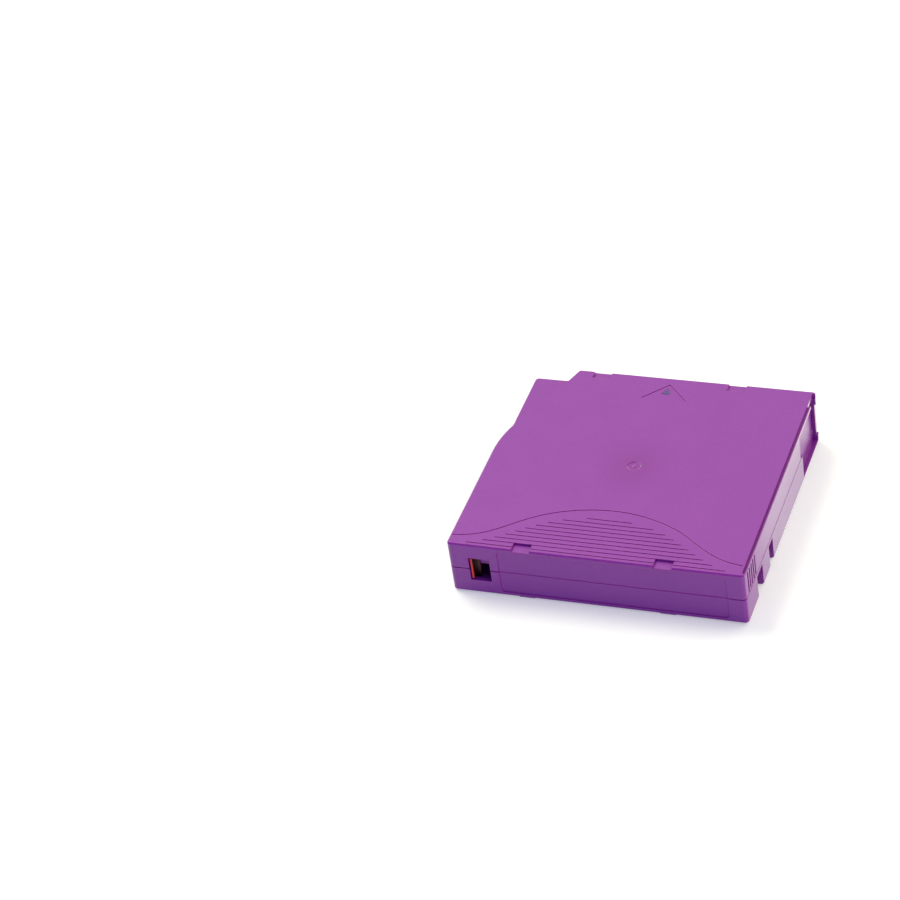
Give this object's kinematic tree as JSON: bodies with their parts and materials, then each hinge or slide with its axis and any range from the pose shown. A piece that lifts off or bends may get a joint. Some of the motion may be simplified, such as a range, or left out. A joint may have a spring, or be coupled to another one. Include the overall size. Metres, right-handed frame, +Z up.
{
  "type": "data tape cartridge",
  "caption": "Half-inch magnetic data tape cartridge: a flat two-shell casing round one braked reel, with a sliding tape door, leader pin and write-protect slider.",
  "frame": {"origin": "middle of the bounding box's underside, on the reel's axis, level with the stacking ribs' feet", "axes": "+Z up out of the top plate, +Y the way the cartridge goes into a drive (the label and write-protect window are on the -Y wall), +X towards the side with the tape door"},
  "size_m": [0.1054, 0.102, 0.0215],
  "materials": {
    "casing": "fine spark-eroded texture",
    "door": "fine texture, satin",
    "reel": "satin moulded",
    "tape": "smooth wound edge",
    "acetal": "satin moulded",
    "red": "satin moulded",
    "steel": "bright drawn",
    "board": "lacquered laminate",
    "copper": "etched track",
    "chip": "moulded epoxy"
  },
  "bodies": {
    "root": {"upper_shell": "casing", "lower_shell": "casing", "case_screws": "steel", "memory_board": "board", "memory_antenna_coil": "copper", "memory_chip": "chip", "leader_pin": "steel", "leader_pin_clip": "acetal", "tape_lead": "tape", "pin_retaining_spring": "steel", "brake_spring": "steel", "door_spring": "steel"},
    "reel": {"reel_hub": "reel", "reel_upper_flange": "reel", "clutch_washer": "steel", "tape_pack": "tape"},
    "release_plate": {"brake_release_plate": "acetal"},
    "brake": {"brake_button": "acetal"},
    "door": {"access_door": "door"},
    "write_protect": {"write_protect_slider": "red"}
  },
  "joints": [
    {"name": "reel_spin", "type": "hinge", "parent": "root", "child": "reel", "pos_m": [0, 0, 0], "axis": [0, 0, 1], "continuous": true},
    {"name": "brake_lift", "type": "slide", "parent": "root", "child": "brake", "axis": [0, 0, 1], "range_m": [0, 0.0015], "stiffness_N_per_m": 300, "springref_m": -0.01, "deforming": ["brake_spring"]},
    {"name": "release_plate_lift", "type": "slide", "parent": "reel", "child": "release_plate", "axis": [0, 0, 1], "range_m": [0, 0.0015]},
    {"name": "door_slide", "type": "slide", "parent": "root", "child": "door", "axis": [0, -1, 0], "range_m": [0, 0.023], "stiffness_N_per_m": 40, "springref_m": -0.02, "deforming": ["door_spring"]},
    {"name": "write_protect_slide", "type": "slide", "parent": "root", "child": "write_protect", "axis": [1, 0, 0], "range_m": [0, 0.0047]}
  ],
  "couplings": [
    {"joint": "release_plate_lift", "follows": "brake_lift", "ratio": 1}
  ]
}
